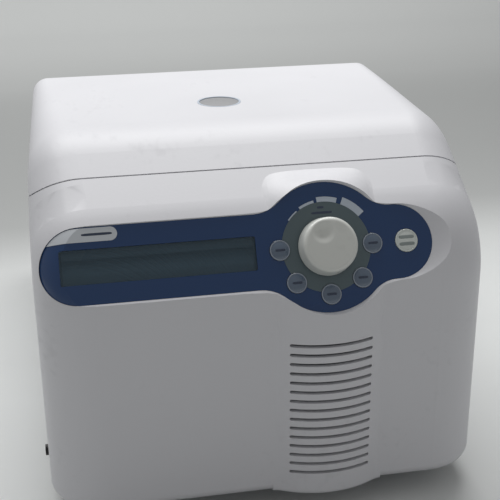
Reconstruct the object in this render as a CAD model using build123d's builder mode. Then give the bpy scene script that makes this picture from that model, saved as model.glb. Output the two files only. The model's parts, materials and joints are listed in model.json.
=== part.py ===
# Refrigerated microcentrifuge: case, lid, control panel, rotor chamber, drive, cooling and power entry.
# Millimetres. X runs to the right, Y to the back and Z up. The origin is on the bench, below the middle
# of the whole instrument, and the front looks towards -Y.
import os
from math import asin, atan, cos, radians, sin, tan

from build123d import *
from OCP.BRepFilletAPI import BRepFilletAPI_MakeFillet

os.makedirs("parts", exist_ok=True)

# Case and lid
case_width = 332
case_depth = 542
foot_height = 20
corner_radius = 42
lid_edge_radius = 14        # what the rounding of the sides has drawn in to at the lid's rear
taper_start = 80            # behind the front wall, where the sides begin to draw in
side_taper = 0.026          # how much each side draws in for each millimetre of depth
front_slope = 28            # rise of the upper front, degrees above the bench
front_bend_radius = 75
lid_bend_radius = 80
seam_y = 66                 # behind the front wall, where lid and case part
seam_z = 257
seam_gap = 1.2
parting_radius = 67         # from the front seam the parting dips on this arc and runs level to the hinge
parting_angle = 50          # how steeply the arc starts, degrees below level
lid_top = 278
lid_drop = 2                # the lid's top falls this much towards its hinge
lid_rear = 317              # behind the front wall
lid_wall = 3
case_wall = 3.5
bottom_round = 8
column_bottom_round = 4
deck_start = 330            # rear deck, behind the hinge
deck_fall = 14
deck_round = 14
rear_round = 3
lid_rear_round = 5
flange_width = 8            # flange round the underside that the base pan hooks over
flange_thick = 8
column_plinth = 4           # solid foot of the column above the flange
seat_thick = 3

# Column that swells from the front wall under the control knob
column_x = 40.4
column_proud = 10.7
column_reach = 11.9         # its crest, a little higher up, stands this far out
column_half_width = 42
column_crest_share = 0.86   # share of the column's curve that bulges outwards
column_top_z = 140          # above this the column leans back with the front
mound_rises = [10.7, 10.7, 11.4, 11.8, 7.0, 0.4]    # from there to past the seam, above the plain front
mound_shares = (0.35, 1.15)    # places of the last two, along the slope up to the seam

# Front vents
vent_count = 15
vent_pitch = 7.5
vent_width = 61.2
vent_slot = 2.6
vent_low_z = 40.3

# Control panel: a flat floor that leans back, sunk into the front
panel_tilt = 28.3           # degrees from upright
panel_y = 15.6              # behind the front wall, at the knob's centre
panel_z = 210.7
overlay_thick = 1
panel_half_height = 26.9
panel_end = 5.4             # panel's left end, inside the case's left side
dial_field_radius = 46.7
lobe_x = 51.6
lobe_reach = 1.2            # the scoop beside the start key spreads this much more for each millimetre
panel_blend_left = 28
panel_blend_right = 25
rim_slope = 0.85            # the recess's wall spreads this much for each millimetre outwards
recess_clear = 22           # the recess is open this far in front of the panel
wrap_depth = 0.6            # depth of the overlay below the case where it follows the left corner

display_margin = 14.25      # display's left end, inside the panel's
display_right = -50.65      # display's right end, from the knob's centre
display_y = -0.6
display_height = 24.2
display_round = 1.5
tag_length = 55             # label field in the panel's upper left corner
tag_low = 16.4
tag_high = 26
print_thick = 0.3           # inlaid printed fields
segment_span = [(125.5, 141), (100.5, 120.5), (72, 96.5), (38, 66)]     # degrees about the knob
segment_depths = [0.9, 1.8, 3.6, 5.4]
dial_ring_radius = 32.3
key_circle_radius = 33.8
key_radius = 7.2
key_travel = 1
key_dome = 2.2
start_key_x = 59.1
start_key_radius = 8.3
start_key_dome = 1.2
knob_radius = 20.8
knob_face_radius = 16.8
knob_height = 15.5
knob_push = 1
dimple_radius = 8.3
shaft_radius = 3
board_depth = 15            # panel floor to control board

switch_height = 3.5
stem_radius = 2.5
knob_wall = 2.5
dimple_x = -4.8
dimple_y = 9
dimple_depth = 2.4
encoder_width = 14
encoder_height = 8
spacer_radius = 3

# Lid hardware
liner_lift = 1.2            # liner above the parting level
liner_thick = 3
window_radius = 17.9
window_shift = (-7.9, -5.7)    # its centre from the rotor's axis
lens_thick = 3
bezel_width = 1.6
hinge_back = 7              # hinge axis behind the lid's rear wall
hinge_z = 242
hinge_x = 85
hinge_pin_radius = 3
knuckle_radius = 6
knuckle_length = 28
ear_thick = 4
latch_inset = 44            # strikers inside the case's sides
latch_y = 112

striker_thick = 3
striker_wide = 14
striker_low = 208
striker_window = (211, 221.5)
hook_reach = 12             # hook's pin outside its striker
hook_pin_z = 200
hook_pin_radius = 2
hook_nose_z = 219.5
cheek_thick = 3

# Rotor chamber and drive, on one upright axis
chamber_y = 190
bowl_radius = 101
bowl_wall = 1.2
bowl_floor_z = 112
seat_depth = 4.2            # chamber seat below the lid's parting level
seat_radius = 114
gasket_height = 4
rotor_radius = 93
rotor_z = 124
tube_count = 12
tube_radius = 8.5
tube_depth = 46
tube_angle = 45
tube_floor = 5              # metal under the tube bores
mouth_radius = 45           # tube mouths' centres from the axis
rotor_rim_radius = 76
rotor_hub_radius = 22
nut_radius = 13
nut_height = 16
spindle_radius = 6
collar_radius = 9
bowl_hole_radius = 14
jacket_thick = 2.2
jacket_low = 125
jacket_high = 215
foam_thick = 17
armour_thick = 4
shelf_z = 96                # ledge inside the armour ring that carries the foam
shelf_thick = 3
motor_radius = 46
motor_low = 38
motor_high = 108
motor_plate_thick = 4
mount_circle_radius = 50
mount_radius = 8

# Base
pan_thick = 2
foot_inset = 38
foot_front_y = 58
foot_rear_inset = 42
foot_radius = 14
side_screw_y = 50
side_screw_z = 48
side_screw_radius = 1.9
side_head_radius = 4.2
side_head_height = 2.4

# Cooling and power, y counted from the front wall
compressor_x = -70
compressor_y = 0.775 * case_depth
compressor_radius = 0.1015 * case_depth
compressor_height = 128
grommet_radius = 7
grommet_height = 8
fan_x = 59
fan_z = 105
fan_width = 120
fan_depth = 25
fan_bore_radius = 57.5
fan_blades = 7
blade_pitch = 40
fan_hub_radius = 19
fan_shaft_radius = 2
condenser_depth = 30
condenser_height = 150
fin_count = 17
fin_thick = 1.2
board_thick = 1.6
power_board_z = 30
rear_panel_thick = 1.5
rear_opening_x = (-125, 135)
rear_opening_z = (42, 198)
panel_margin = 9
entry_x = -95
entry_z = 105
entry_width = 30
entry_height = 78
flange_proud = 2
inlet_width = 23.5
inlet_height = 15.5
inlet_depth = 18
inlet_z = 105
pin_length = 12.5
rocker_z = 131
rocker_width = 13
rocker_height = 18
rocker_axle_radius = 1.5
fuse_z = 80
fuse_width = 18
fuse_height = 9
fuse_depth = 20

# Fits
running_gap = 0.05
assembly_gap = 0.3
skin_gap = 0.1

# Places worked out from the sizes above
front_y = (column_reach - case_depth) / 2
rear_y = front_y + case_depth
half_width = case_width / 2
slope = radians(front_slope)
dip = radians(parting_angle)
parting_z = seam_z - parting_radius * (1 - cos(dip))
parting_end = seam_y + parting_radius * sin(dip)
chamber = (0, front_y + chamber_y)
tilt = radians(panel_tilt)
panel = Plane(origin=(column_x, front_y + panel_y, panel_z), x_dir=(1, 0, 0), z_dir=(0, -cos(tilt), sin(tilt)))
seat_z = parting_z - seat_depth
lid_rear_y = front_y + lid_rear
hinge_y = lid_rear_y + hinge_back
panel_left = half_width + column_x - panel_end
display_width = panel_left - display_margin + display_right
display_x = display_right - display_width / 2
tag_right = tag_length - panel_left
window_place = (chamber[0] + window_shift[0], chamber[1] + window_shift[1])
latch_x = half_width - latch_inset
hook_x = latch_x + hook_reach
foot_x = half_width - foot_inset
foot_rear_y = case_depth - foot_rear_inset


def save(piece, name):
    piece.label = name
    export_step(piece, f"parts/{name}.step")


def half_width_at(y):
    """half the case's width, y behind the front wall"""
    return half_width - side_taper * max(0, y - taper_start)


def front_outline():
    """points and tangents of the side profile: front wall, bend, upper front, bend and lid top"""
    bend = front_bend_radius * tan((radians(90) - slope) / 2)
    knee_z = seam_z - seam_y * tan(slope)
    top_bend = lid_bend_radius * tan(slope / 2)
    knee_y = seam_y + (lid_top - seam_z) / tan(slope)
    wall_top = (front_y, knee_z - bend)
    rise_start = (front_y + bend * cos(slope), knee_z + bend * sin(slope))
    rise_end = (front_y + knee_y - top_bend * cos(slope), lid_top - top_bend * sin(slope))
    top_start = (front_y + knee_y + top_bend, lid_top)
    return wall_top, rise_start, rise_end, top_start


def round_sides(body, edges, inset):
    """body with its side edges rounded, by less and less from the front's upper bend to the lid's rear"""
    bend_y = front_outline()[1][0]

    def radius_at(place):
        drawn_in = max(0, place.Y - bend_y) / (lid_rear_y - bend_y)
        return corner_radius - inset - drawn_in * (corner_radius - lid_edge_radius)

    rounding = BRepFilletAPI_MakeFillet(body.wrapped)
    for edge in edges:
        rounding.Add(edge.wrapped)
    for chain in range(1, rounding.NbContours() + 1):
        for link in range(1, rounding.NbEdges(chain) + 1):
            edge = Edge(rounding.Edge(chain, link))
            rounding.SetRadius(radius_at(edge @ 0), radius_at(edge @ 1), chain, link)
    return Part(rounding.Shape())


def casing(inset, bottom, rear, low_round=0, back_round=0):
    """case and lid as one form, its front, top and sides moved in by inset; rear is behind the front wall"""
    wall_top, rise_start, rise_end, top_start = front_outline()
    far = front_y + rear + inset
    with BuildPart(mode=Mode.PRIVATE) as sharp:
        with BuildSketch(Plane.YZ):
            with BuildLine():
                Line((front_y, bottom - inset), wall_top)
                TangentArc(wall_top, rise_start, tangent=(0, 1))
                Line(rise_start, rise_end)
                TangentArc(rise_end, top_start, tangent=(cos(slope), sin(slope)))
                Polyline(top_start, (far, lid_top - lid_drop), (far, bottom - inset), (front_y, bottom - inset))
            make_face()
            if inset:
                offset(amount=-inset, kind=Kind.INTERSECTION)
        extrude(amount=case_width, both=True)
        with BuildSketch(Plane.XY.offset(bottom - 1)):
            with BuildLine():
                w = half_width - inset
                end = half_width_at(rear) - inset
                kink = front_y + taper_start
                near = front_y - 1
                back = front_y + rear
                Polyline((-w, near), (w, near), (w, kink), (end, back), (-end, back), (-w, kink), (-w, near))
            make_face()
        extrude(amount=lid_top, mode=Mode.INTERSECT)
        sides = [
            e for e in sharp.edges()
            if abs(e.center().X) > end - 1 and e.center().Y < back - 1 and e.center().Z > bottom + 1
            and not (abs(e.center().Y - kink) < 1 and abs(e.tangent_at(0.5).Z) > 0.9)
        ]
    with BuildPart(mode=Mode.PRIVATE) as form:
        add(round_sides(sharp.part, sides, inset))
        if back_round:
            behind = form.faces().sort_by(Axis.Y)[-1].edges()
            fillet([e for e in behind if e.center().Z > bottom + 1], back_round)
        if low_round:
            low = [e for e in form.edges() if abs(e.center().Z - bottom) < 0.01 and e.center().Y < back - 1]
            fillet(low, low_round)
    return form.part


def below_parting(shift, reach):
    """everything under the surface where lid and case part, moved up by shift, back to reach"""
    out_y, out_z = front_y + seam_y - 40 * sin(slope), seam_z + 40 * cos(slope)
    start = (front_y + seam_y, seam_z)
    end = (front_y + parting_end, parting_z)
    with BuildPart(mode=Mode.PRIVATE) as tool:
        with BuildSketch(Plane.YZ):
            with BuildLine():
                Polyline((front_y - 80, -80), (front_y - 80, out_z), (out_y, out_z), start)
                TangentArc(start, end, tangent=(cos(dip), -sin(dip)))
                Polyline(end, (front_y + reach - shift, parting_z), (front_y + reach - shift, -80), (front_y - 80, -80))
            make_face()
            offset(amount=shift, kind=Kind.INTERSECTION)
        extrude(amount=case_width, both=True)
    return tool.part


def bump_face(plane, rise, width):
    """section of the column: a crest between two hollows, width to each side, on a deep foot"""
    turn = 2 * atan(rise / width)
    both_radii = width / sin(turn)
    crest = both_radii * column_crest_share
    hollow = both_radii - crest
    side = crest * sin(turn)
    side_rise = rise - crest * (1 - cos(turn))
    mid = (width - hollow * sin(turn / 2), hollow * (1 - cos(turn / 2)))
    bite = 0.15
    foot = 7
    with BuildSketch(plane, mode=Mode.PRIVATE) as section:
        with BuildLine():
            Line((-width, foot), (-width, bite))
            ThreePointArc((-width, bite), (-mid[0], bite - mid[1]), (-side, bite - side_rise))
            ThreePointArc((-side, bite - side_rise), (0, bite - rise), (side, bite - side_rise))
            ThreePointArc((side, bite - side_rise), (mid[0], bite - mid[1]), (width, bite))
            Polyline((width, bite), (width, foot), (-width, foot))
        make_face()
    return section.sketch


def mound(inset, bottom, low_round=0):
    """the column and the mound above it, its face moved in by inset"""
    wall_top, rise_start, rise_end, top_start = front_outline()
    width = column_half_width - inset / 2
    arc_y = front_y + front_bend_radius
    radius = front_bend_radius - inset
    places = []
    for turn in (0, radians((90 - front_slope) / 2), radians(90 - front_slope)):
        places.append((arc_y - radius * cos(turn), wall_top[1] + radius * sin(turn), turn))
    last = places[-1]
    length = (front_y + seam_y - rise_start[0]) / cos(slope)
    for share in mound_shares:
        places.append((last[0] + share * length * cos(slope), last[1] + share * length * sin(slope), last[2]))
    places.insert(0, (front_y + inset, column_top_z, 0))
    planes = [Plane(origin=(column_x, y, z), x_dir=(1, 0, 0), z_dir=(0, sin(t), cos(t))) for y, z, t in places]
    with BuildPart(mode=Mode.PRIVATE) as body:
        low = Plane(origin=(column_x, front_y + inset, bottom), x_dir=(1, 0, 0), z_dir=(0, 0, 1))
        add(bump_face(low, column_proud, width))
        extrude(amount=column_top_z - bottom)
        if low_round:
            low = [e for e in body.edges() if abs(e.center().Z - bottom) < 0.01 and e.geom_type == GeomType.CIRCLE]
            fillet(low, low_round)
        faces = [bump_face(p, rise, width) for p, rise in zip(planes, mound_rises)]
        add(loft(faces, mode=Mode.PRIVATE))
    return body.part


def panel_face(grow, reach, plane):
    """outline of the panel: display field, round dial field and start-key lobe, all grown outwards"""
    r = panel_half_height + grow
    with BuildSketch(plane, mode=Mode.PRIVATE) as face:
        Circle(dial_field_radius + grow)
        with Locations((-(panel_left - panel_half_height) / 2, 0)):
            Rectangle(panel_left - panel_half_height, 2 * r)
        with Locations((-(panel_left - panel_half_height), 0)):
            Circle(r)
        with Locations((lobe_x, 0), (lobe_x + reach, 0)):
            Circle(r)
        if reach:
            with Locations((lobe_x + reach / 2, 0)):
                Rectangle(reach, 2 * r)
        for side, blend in ((-1, panel_blend_left), (1, panel_blend_right)):
            corners = [v for v in face.vertices() if 0 < side * v.X < lobe_x - 1]
            fillet(corners, blend - grow)
    return face.sketch


def behind_panel(depth):
    """everything behind the panel's face, depth below it"""
    with BuildPart(mode=Mode.PRIVATE) as space:
        with BuildSketch(panel.offset(-depth)):
            Rectangle(3 * case_width, 3 * case_width)
        extrude(amount=-2 * case_width)
    return space.part


def panel_prism(grow, low, high):
    """the panel's outline as a block from low to high above the panel's face"""
    with BuildPart(mode=Mode.PRIVATE) as prism:
        add(panel_face(grow, 0, panel.offset(low)))
        extrude(amount=high - low, dir=panel.z_dir)
    return prism.part


def rear_block(inset, bottom):
    """the case behind the hinge, under the rear deck"""
    start = front_y + deck_start
    top = parting_z - seam_gap / 2 - inset
    far_y = rear_y - inset
    near_x = half_width_at(deck_start) - inset
    far_x = half_width_at(case_depth) - inset
    with BuildPart(mode=Mode.PRIVATE) as body:
        with BuildSketch(Plane.YZ):
            with BuildLine():
                Polyline((start, bottom), (start, top), (far_y, top - deck_fall), (far_y, bottom), (start, bottom))
            make_face()
        extrude(amount=case_width, both=True)
        with BuildSketch(Plane.XY.offset(bottom)):
            with BuildLine():
                Polyline((-near_x, start), (near_x, start), (far_x, far_y), (-far_x, far_y), (-near_x, start))
            make_face()
        extrude(amount=lid_top, mode=Mode.INTERSECT)
        sides = [e for e in body.edges() if abs(e.center().X) > far_x - 1 and start + 1 < e.center().Y < far_y - 1]
        fillet([e for e in sides if e.center().Z > top - deck_fall - 1], deck_round - inset)
        if not inset:
            fillet([e for e in sides if e.center().Z < bottom + 1], bottom_round)
            fillet(body.faces().sort_by(Axis.Y)[-1].edges(), rear_round)
    return body.part


def inner_plan(gap, z):
    """plan of the case's inside at its foot, less a gap all round"""
    with BuildSketch(Plane.XY.offset(z), mode=Mode.PRIVATE) as plan:
        with BuildLine():
            edge = case_wall + gap
            near, far = half_width - edge, half_width_at(case_depth) - edge
            a, k, b = front_y + edge, front_y + taper_start, rear_y - edge
            Polyline((-near, a), (near, a), (near, k), (far, b), (-far, b), (-near, k), (-near, a))
        make_face()
        fillet(plan.vertices().group_by(Axis.Y)[0], corner_radius - edge)
    return plan.sketch


def plan_block(gap, low, high):
    """the same as a block between two heights"""
    with BuildPart(mode=Mode.PRIVATE) as body:
        add(inner_plan(gap, low))
        extrude(amount=high - low)
    return body.part


def block(x, y, z):
    """box between pairs of limits, y counted from the front wall"""
    with BuildPart(mode=Mode.PRIVATE) as body:
        with Locations(((x[0] + x[1]) / 2, front_y + (y[0] + y[1]) / 2, (z[0] + z[1]) / 2)):
            Box(x[1] - x[0], y[1] - y[0], z[1] - z[0])
    return body.part


def disc(centre, radius, low, high):
    """upright cylinder about a point of the plan"""
    with BuildPart(mode=Mode.PRIVATE) as body:
        with BuildSketch(Plane.XY.offset(low)):
            with Locations(centre):
                Circle(radius)
        extrude(amount=high - low)
    return body.part


def rod(centre, radius, length, direction):
    """cylinder along a direction, centred on a point"""
    with BuildPart(mode=Mode.PRIVATE) as body:
        with BuildSketch(Plane(origin=centre, z_dir=direction)):
            Circle(radius)
        extrude(amount=length / 2, both=True)
    return body.part


def panel_discs(places, radius, low, high):
    """discs at places on the panel, from low to high above its face"""
    with BuildPart(mode=Mode.PRIVATE) as body:
        with BuildSketch(panel.offset(low)):
            with Locations(*places):
                Circle(radius)
        extrude(amount=high - low)
    return body.part


def panel_plate(x, y, low, high, round_off=0):
    """rectangular plate on the panel between limits of x and y"""
    with BuildPart(mode=Mode.PRIVATE) as body:
        with BuildSketch(panel.offset(low)):
            with Locations(((x[0] + x[1]) / 2, (y[0] + y[1]) / 2)):
                if round_off:
                    RectangleRounded(x[1] - x[0], y[1] - y[0], round_off)
                else:
                    Rectangle(x[1] - x[0], y[1] - y[0])
        extrude(amount=high - low)
    return body.part


def display_plate(grow, low, high):
    """plate of the display window's shape, grown all round"""
    half_x, half_y = display_width / 2 + grow, display_height / 2 + grow
    return panel_plate((display_x - half_x, display_x + half_x), (display_y - half_y, display_y + half_y),
                       low, high, display_round)


# Case moulding: outer form less the panel recess, the hollow, the chamber seat, the vents and the slots
deck_reach = deck_start + 40
case_top = -seam_gap / 2
wall_back = -overlay_thick - case_wall
key_sink = key_travel + 0.4 + overlay_thick
key_turns = [180, 225, 270, 315, 360]
key_places = [(key_circle_radius * cos(radians(t)), key_circle_radius * sin(radians(t))) for t in key_turns]
start_place = (start_key_x, 0)
slot_half_x, slot_half_y = 3.5, 9
latch_sides = (-1, 1)
hollow_bottom = foot_height + flange_thick
floor_form = casing(wrap_depth + overlay_thick, foot_height, deck_start) & behind_panel(overlay_thick)
column = mound(0, foot_height, column_bottom_round)
floor_column = column & behind_panel(overlay_thick)
recess = panel_prism(0, -20, 0) - floor_form - floor_column
recess_low = panel_face(0, 0, panel)
recess_high = panel_face(rim_slope * recess_clear, lobe_reach * recess_clear, panel.offset(recess_clear))
scoop = loft([recess_low, recess_high], ruled=True)
backing_low = panel_face(case_wall, 0, panel.offset(wall_back))
backing_high = panel_face(rim_slope * recess_clear + case_wall, lobe_reach * recess_clear + 2 * case_wall,
                          panel.offset(recess_clear))
backing = loft([backing_low, backing_high], ruled=True)
hollow_lid = below_parting(case_top - case_wall, deck_reach)
seat_ring = disc(chamber, seat_radius + seat_thick, seat_z - seat_thick, seat_z + 60)
hollow = (casing(case_wall, hollow_bottom, deck_start) & hollow_lid) - backing - seat_ring
column_hollow = (mound(case_wall, hollow_bottom + column_plinth) & hollow_lid) - backing
case_lid = below_parting(case_top, deck_reach)
case_front = casing(0, foot_height, deck_start, low_round=bottom_round) & case_lid
case_column = column & case_lid

with BuildPart() as case_moulding:
    add(case_front)
    add(case_column)
    add(rear_block(0, foot_height))
    add(recess, mode=Mode.SUBTRACT)
    add(scoop, mode=Mode.SUBTRACT)
    add(rear_block(case_wall, hollow_bottom), mode=Mode.SUBTRACT)
    add(hollow, mode=Mode.SUBTRACT)
    add(column_hollow, mode=Mode.SUBTRACT)
    add(plan_block(flange_width, foot_height - 1, hollow_bottom + 1), mode=Mode.SUBTRACT)
    add(disc(chamber, seat_radius, seat_z, seat_z + 60), mode=Mode.SUBTRACT)
    add(disc(chamber, bowl_radius + bowl_wall + 1, seat_z - 10, seat_z + 10), mode=Mode.SUBTRACT)
    with BuildSketch(Plane.XZ.offset(-front_y + 30)):
        with Locations((column_x, vent_low_z + vent_pitch * (vent_count - 1) / 2)):
            with GridLocations(0, vent_pitch, 1, vent_count):
                SlotOverall(vent_width, vent_slot)
    extrude(amount=-60, mode=Mode.SUBTRACT)
    add(panel_discs(key_places, key_radius + assembly_gap, -key_sink, 0), mode=Mode.SUBTRACT)
    add(panel_discs(key_places, stem_radius + assembly_gap, wall_back - 2, 0), mode=Mode.SUBTRACT)
    add(panel_discs([start_place], start_key_radius + assembly_gap, -key_sink, 0), mode=Mode.SUBTRACT)
    add(panel_discs([start_place], stem_radius + assembly_gap, wall_back - 2, 0), mode=Mode.SUBTRACT)
    add(panel_discs([(0, 0)], shaft_radius + 2, wall_back - 2, 0), mode=Mode.SUBTRACT)
    add(display_plate(1, wall_back - 20, 0), mode=Mode.SUBTRACT)
    for side in latch_sides:
        slot_x = (side * latch_x - slot_half_x, side * latch_x + slot_half_x)
        slot = block(slot_x, (latch_y - slot_half_y - 1, latch_y + slot_half_y - 1), (seat_z - 5, parting_z + 9))
        add(slot, mode=Mode.SUBTRACT)
        screw_place = (side * half_width, front_y + side_screw_y, side_screw_z)
        add(rod(screw_place, side_screw_radius + assembly_gap, 4 * case_wall, (1, 0, 0)), mode=Mode.SUBTRACT)
    add(block(rear_opening_x, (case_depth - 2 * case_wall, case_depth + 1), rear_opening_z), mode=Mode.SUBTRACT)
save(case_moulding.part, "case_moulding")

# Control panel, in the panel's own plane: x across, y up the slope
overlay_top = casing(wrap_depth, foot_height, deck_start) & behind_panel(0)
blank = panel_prism(-assembly_gap / 2, -20, 0)
blank = (blank & overlay_top) + (blank & column & behind_panel(0)) - floor_form - floor_column

with BuildPart() as control_overlay:
    add(blank)
    add(panel_discs(key_places, key_radius + assembly_gap, -20, 5), mode=Mode.SUBTRACT)
    add(panel_discs([start_place], start_key_radius + assembly_gap, -20, 5), mode=Mode.SUBTRACT)
    add(panel_discs([(0, 0)], shaft_radius + 2, -20, 5), mode=Mode.SUBTRACT)
    add(display_plate(0, -20, 5), mode=Mode.SUBTRACT)
save(control_overlay.part, "control_overlay")

print_layer = (casing(wrap_depth - print_thick, foot_height, deck_start) & behind_panel(-print_thick)) - overlay_top
tag_blank = panel_prism(-2 * assembly_gap, -20, 10)
with BuildPart() as label_tag:
    half_tag = (tag_high - tag_low) / 2
    with BuildSketch(panel.offset(-20)):
        with Locations((tag_right - half_tag, (tag_low + tag_high) / 2)):
            Circle(half_tag)
        with Locations((tag_right - half_tag - panel_left / 2, (tag_low + tag_high) / 2)):
            Rectangle(panel_left, 2 * half_tag)
    extrude(amount=30)
    add(tag_blank, mode=Mode.INTERSECT)
    add(print_layer, mode=Mode.INTERSECT)
save(label_tag.part, "label_tag")

with BuildPart() as dial_ring:
    with BuildSketch(panel):
        Circle(dial_ring_radius)
        Circle(shaft_radius + 2, mode=Mode.SUBTRACT)
        with Locations(*key_places):
            Circle(key_radius + assembly_gap, mode=Mode.SUBTRACT)
    extrude(amount=print_thick)
save(dial_ring.part, "dial_ring")

with BuildPart() as scale_segments:
    with BuildSketch(panel):
        for (start, end), depth in zip(segment_span, segment_depths):
            inner = dial_ring_radius + skin_gap
            with BuildLine():
                low = CenterArc((0, 0), inner, start, end - start)
                high = CenterArc((0, 0), inner + depth, start, end - start)
                Line(low @ 0, high @ 0)
                Line(low @ 1, high @ 1)
            make_face()
    extrude(amount=print_thick)
save(scale_segments.part, "scale_segments")

lens_back = -overlay_thick - 2
save(display_plate(-skin_gap, lens_back, -skin_gap), "display_lens")
save(display_plate(0, -board_depth, lens_back), "display_module")


# Keys: a domed cap in a shallow well, its stem over a switch on the control board
switch_top = -board_depth + switch_height
key_rest = -key_sink + key_travel + assembly_gap


def key_piece(place, radius, dome):
    ball = (radius ** 2 + dome ** 2) / (2 * dome)
    centre = print_thick + dome - ball
    half = asin(radius / ball) / 2
    axle = panel.from_local_coords(Vector(*place, 0))
    with BuildPart() as key:
        with BuildSketch(Plane(origin=axle, x_dir=panel.x_dir, z_dir=-panel.y_dir)):
            with BuildLine():
                stem_low = switch_top + key_travel + assembly_gap
                Polyline((0, stem_low), (stem_radius, stem_low), (stem_radius, key_rest), (radius, key_rest),
                         (radius, print_thick))
                crown = (ball * sin(half), centre + ball * cos(half))
                ThreePointArc((radius, print_thick), crown, (0, print_thick + dome))
                Line((0, print_thick + dome), (0, stem_low))
            make_face()
        revolve(axis=Axis(axle, panel.z_dir))
    return key.part


for name, place in zip(("left", "lower_left", "bottom", "lower_right", "right"), key_places):
    save(key_piece(place, key_radius, key_dome), f"key_{name}")
save(key_piece(start_place, start_key_radius, start_key_dome), "start_key")

board_low = -board_depth - board_thick
board_left = display_x - display_width / 2
board_right = start_key_x + start_key_radius + 10
board_half = panel_half_height - 5
spacer_places = [(x, y) for x in (board_left + 22, -60, board_right - 8) for y in (board_half - 4, 4 - board_half)]
with BuildPart() as control_board:
    add(panel_plate((board_left, board_right), (-board_half, board_half), board_low, -board_depth, 3))
    add(panel_discs([(0, 0)], key_circle_radius + 6, board_low, -board_depth))
save(control_board.part, "control_board")

with BuildPart() as board_spacers:
    add(panel_discs(spacer_places, spacer_radius, -board_depth, wall_back))
save(board_spacers.part, "board_spacers")

with BuildPart() as key_switches:
    with BuildSketch(panel.offset(-board_depth)):
        with Locations(*key_places, start_place):
            Rectangle(6, 6)
    extrude(amount=switch_height)
save(key_switches.part, "key_switches")

# Knob on its encoder: the shaft turns, and the plunger under it gives way when the knob is pushed
encoder_top = -board_depth + encoder_height
knob_low = print_thick + knob_push + assembly_gap
knob_core = knob_height - dimple_depth - 1.2
well_low = encoder_top - 7
plunger_top = encoder_top - 3
with BuildPart() as knob_encoder:
    half_encoder = encoder_width / 2
    add(panel_plate((-half_encoder, half_encoder), (-half_encoder, half_encoder), -board_depth, encoder_top))
    add(panel_discs([(0, 0)], shaft_radius + 1.4, encoder_top, -overlay_thick))
    add(panel_discs([(0, 0)], shaft_radius + running_gap, well_low, 0), mode=Mode.SUBTRACT)
    add(panel_discs([(0, 0)], shaft_radius + 1.8, well_low, encoder_top - 1.5), mode=Mode.SUBTRACT)
save(knob_encoder.part, "knob_encoder")

with BuildPart() as encoder_plunger:
    add(panel_discs([(0, 0)], shaft_radius + 1.5, plunger_top - 1.5, plunger_top))
save(encoder_plunger.part, "encoder_plunger")

with BuildPart() as encoder_shaft:
    add(panel_discs([(0, 0)], shaft_radius, plunger_top + skin_gap, knob_core))
save(encoder_shaft.part, "encoder_shaft")

knob_section = Plane(origin=panel.origin, x_dir=panel.x_dir, z_dir=-panel.y_dir)
with BuildPart() as control_knob:
    with BuildSketch(knob_section):
        with BuildLine():
            bore = shaft_radius + running_gap
            edge = knob_radius - (knob_radius - knob_face_radius) / 3
            Polyline(
                (bore, knob_low), (2 * bore, knob_low), (2 * bore, knob_core), (edge - knob_wall, knob_core),
                (knob_radius - knob_wall, knob_low), (knob_radius, knob_low), (edge, knob_height), (0, knob_height),
                (0, knob_core + skin_gap), (bore, knob_core + skin_gap), (bore, knob_low),
            )
        make_face()
    revolve(axis=Axis(panel.origin, panel.z_dir))
    shoulder = control_knob.edges().filter_by(GeomType.CIRCLE).sort_by(Axis(panel.origin, panel.z_dir))[-1]
    fillet(shoulder, edge - knob_face_radius)
    ball = (dimple_radius ** 2 + dimple_depth ** 2) / (2 * dimple_depth)
    with Locations(panel.from_local_coords(Vector(dimple_x, dimple_y, knob_height + ball - dimple_depth))):
        Sphere(ball, mode=Mode.SUBTRACT)
save(control_knob.part, "control_knob")

# Lid: outer shell, liner with the flat boss that meets the gasket, and the window over the rotor's axis
lid_reach = lid_rear + 40
boss_radius = seat_radius - 3
liner_low = parting_z + liner_lift
liner_high = liner_low + liner_thick
top_start_y = front_outline()[3][0]
window_top = lid_top - lid_drop * (window_place[1] - top_start_y) / (lid_rear_y - top_start_y) + assembly_gap
bezel_inner = window_radius - bezel_width
with BuildPart() as lid_shell:
    add(casing(0, foot_height, lid_rear, back_round=lid_rear_round))
    add(below_parting(-case_top, lid_reach), mode=Mode.SUBTRACT)
    add(casing(lid_wall, foot_height, lid_rear - lid_wall), mode=Mode.SUBTRACT)
    add(disc(window_place, window_radius + skin_gap, liner_high, lid_top + 5), mode=Mode.SUBTRACT)
save(lid_shell.part, "lid_shell")

under_liner = below_parting(liner_lift, lid_reach)
over_liner = below_parting(liner_lift + liner_thick, lid_reach)
boss = disc(chamber, boss_radius, liner_low, lid_top) & over_liner
with BuildPart() as lid_liner:
    add(over_liner)
    add(under_liner, mode=Mode.SUBTRACT)
    add(boss)
    add(disc(chamber, boss_radius - liner_thick, liner_high, lid_top), mode=Mode.SUBTRACT)
    add(disc(window_place, bezel_inner - 1, liner_low - 5, lid_top), mode=Mode.SUBTRACT)
    add(casing(lid_wall + skin_gap, foot_height, lid_rear - lid_wall - skin_gap), mode=Mode.INTERSECT)
save(lid_liner.part, "lid_liner")

lens_top = window_top - 2 * assembly_gap
with BuildPart() as window_bezel:
    add(disc(window_place, window_radius, liner_high, window_top))
    add(disc(window_place, bezel_inner, lens_top - lens_thick, window_top + 1), mode=Mode.SUBTRACT)
    add(disc(window_place, bezel_inner - 1, liner_high - 1, window_top), mode=Mode.SUBTRACT)
save(window_bezel.part, "window_bezel")

with BuildPart() as window_lens:
    add(disc(window_place, bezel_inner - running_gap, lens_top - lens_thick, lens_top))
save(window_lens.part, "window_lens")

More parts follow.
